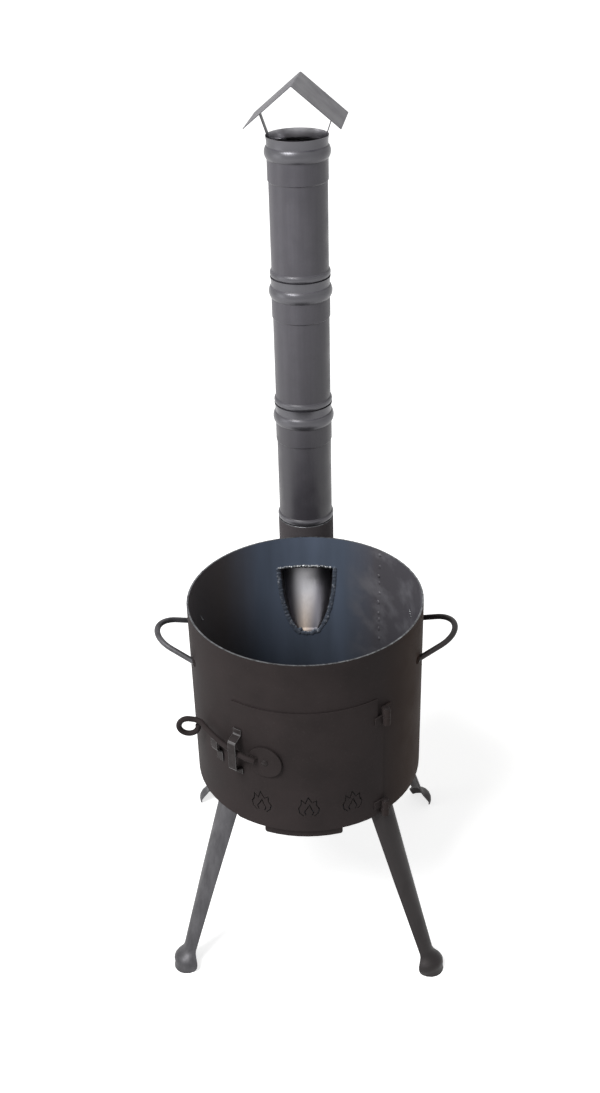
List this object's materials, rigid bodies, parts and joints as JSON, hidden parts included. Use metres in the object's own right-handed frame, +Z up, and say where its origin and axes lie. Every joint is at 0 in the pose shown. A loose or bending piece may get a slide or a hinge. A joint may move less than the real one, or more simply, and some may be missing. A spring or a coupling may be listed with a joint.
{
  "type": "kazan stove with chimney",
  "caption": "Open steel drum stove for a kazan, on splayed legs, with a latched fire door with flame vents, side handles and a rear socketed chimney under a rain cap.",
  "frame": {"origin": "on the ground under the middle of the stove's outline", "axes": "+Z up along the drum and the pipe, -Y towards the fire door, +Y towards the chimney"},
  "size_m": [0.5388, 0.5898, 1.4915],
  "materials": {
    "black_heat_paint": "matte heat paint over mill scale, rubbed grey at edges",
    "grey_pipe_enamel": "thin satin grey coat on rolled sheet",
    "rolled_steel": "bare hot-rolled steel, dull grey",
    "bright_strap": "bare cut strap, satin",
    "cast_iron": "raw grey-black casting"
  },
  "bodies": {
    "stove": {"drum_shell": "black_heat_paint", "drum_floor": "black_heat_paint", "sill_strip": "black_heat_paint", "flue_scoop": "black_heat_paint", "flue_collar": "black_heat_paint", "handle_left": "rolled_steel", "handle_right": "rolled_steel", "leg_front_left": "rolled_steel", "leg_front_right": "rolled_steel", "leg_rear_left": "rolled_steel", "leg_rear_right": "rolled_steel", "grate_clip_1": "rolled_steel", "grate_clip_2": "rolled_steel", "grate_clip_3": "rolled_steel", "grate_clip_4": "rolled_steel", "drum_knuckle_upper": "rolled_steel", "drum_knuckle_lower": "rolled_steel", "hinge_pin_upper": "bright_strap", "hinge_pin_lower": "bright_strap", "latch_catch": "bright_strap"},
    "door": {"door_panel": "black_heat_paint", "door_knuckle_upper": "rolled_steel", "door_knuckle_lower": "rolled_steel", "latch_rivet": "bright_strap", "latch_staple": "bright_strap"},
    "latch": {"latch_disc": "black_heat_paint", "latch_rod": "black_heat_paint"},
    "chimney_1": {"chimney_section_1": "grey_pipe_enamel"},
    "chimney_2": {"chimney_section_2": "grey_pipe_enamel"},
    "chimney_3": {"chimney_section_3": "grey_pipe_enamel"},
    "cap": {"rain_cap": "grey_pipe_enamel", "cap_strap_left": "grey_pipe_enamel", "cap_strap_right": "grey_pipe_enamel"},
    "grate": {"fire_grate": "cast_iron"}
  },
  "joints": [
    {"name": "door_swing", "type": "hinge", "parent": "stove", "child": "door", "pos_m": [0.137, -0.20644, 0.541], "axis": [0, 0, 1], "range_deg": [0, 120]},
    {"name": "latch_lift", "type": "hinge", "parent": "door", "child": "latch", "pos_m": [-0.07043, -0.23615, 0.469], "axis": [0.3338, 0.9426, 0], "range_deg": [0, 8]},
    {"name": "section_1_lift", "type": "slide", "parent": "stove", "child": "chimney_1", "axis": [0, 0, 1], "range_m": [0, 0.1]},
    {"name": "section_2_lift", "type": "slide", "parent": "chimney_1", "child": "chimney_2", "axis": [0, 0, 1], "range_m": [0, 0.1]},
    {"name": "section_3_lift", "type": "slide", "parent": "chimney_2", "child": "chimney_3", "axis": [0, 0, 1], "range_m": [0, 0.1]},
    {"name": "cap_lift", "type": "slide", "parent": "chimney_3", "child": "cap", "axis": [0, 0, 1], "range_m": [0, 0.05]},
    {"name": "grate_lift", "type": "slide", "parent": "stove", "child": "grate", "axis": [0, 0, 1], "range_m": [0, 0.36]}
  ]
}
